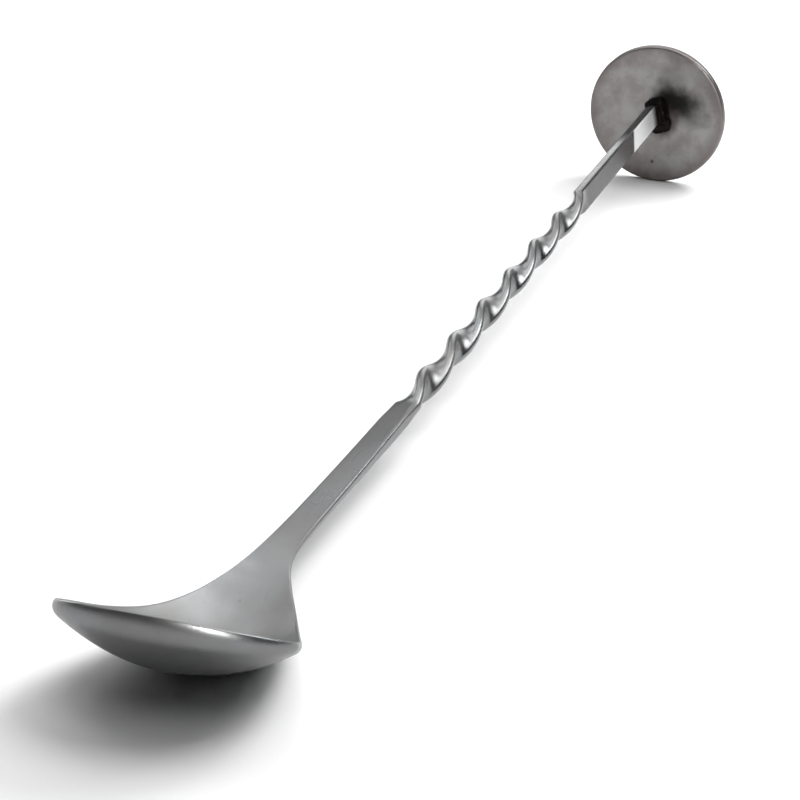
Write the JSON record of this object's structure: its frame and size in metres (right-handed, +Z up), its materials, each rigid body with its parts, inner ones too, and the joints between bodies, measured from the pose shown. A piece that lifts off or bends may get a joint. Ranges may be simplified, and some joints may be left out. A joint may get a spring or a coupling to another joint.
{
  "type": "bar spoon",
  "caption": "Long bar spoon for stirring and measuring drinks, with a bowl, a twisted flat handle and a muddling disc welded to its far end.",
  "frame": {"origin": "middle of the bounding box's bottom face; the spoon lies on z = 0 on its belly and the disc's rim", "axes": "+X runs along the spoon from the bowl to the disc, +Z is up out of the open bowl, and Y is across the bowl"},
  "size_m": [0.2218, 0.0268, 0.0248],
  "materials": {
    "blank_steel": "satin, slightly worn",
    "weld_heat_tint": "rough, blackened by welding heat",
    "disc_steel": "satin, with a smudge of heat tint beside the weld"
  },
  "bodies": {
    "root": {"spoon_bowl": "blank_steel", "twisted_strip": "blank_steel", "weld_bead": "weld_heat_tint", "muddler_disc": "disc_steel"}
  },
  "joints": []
}
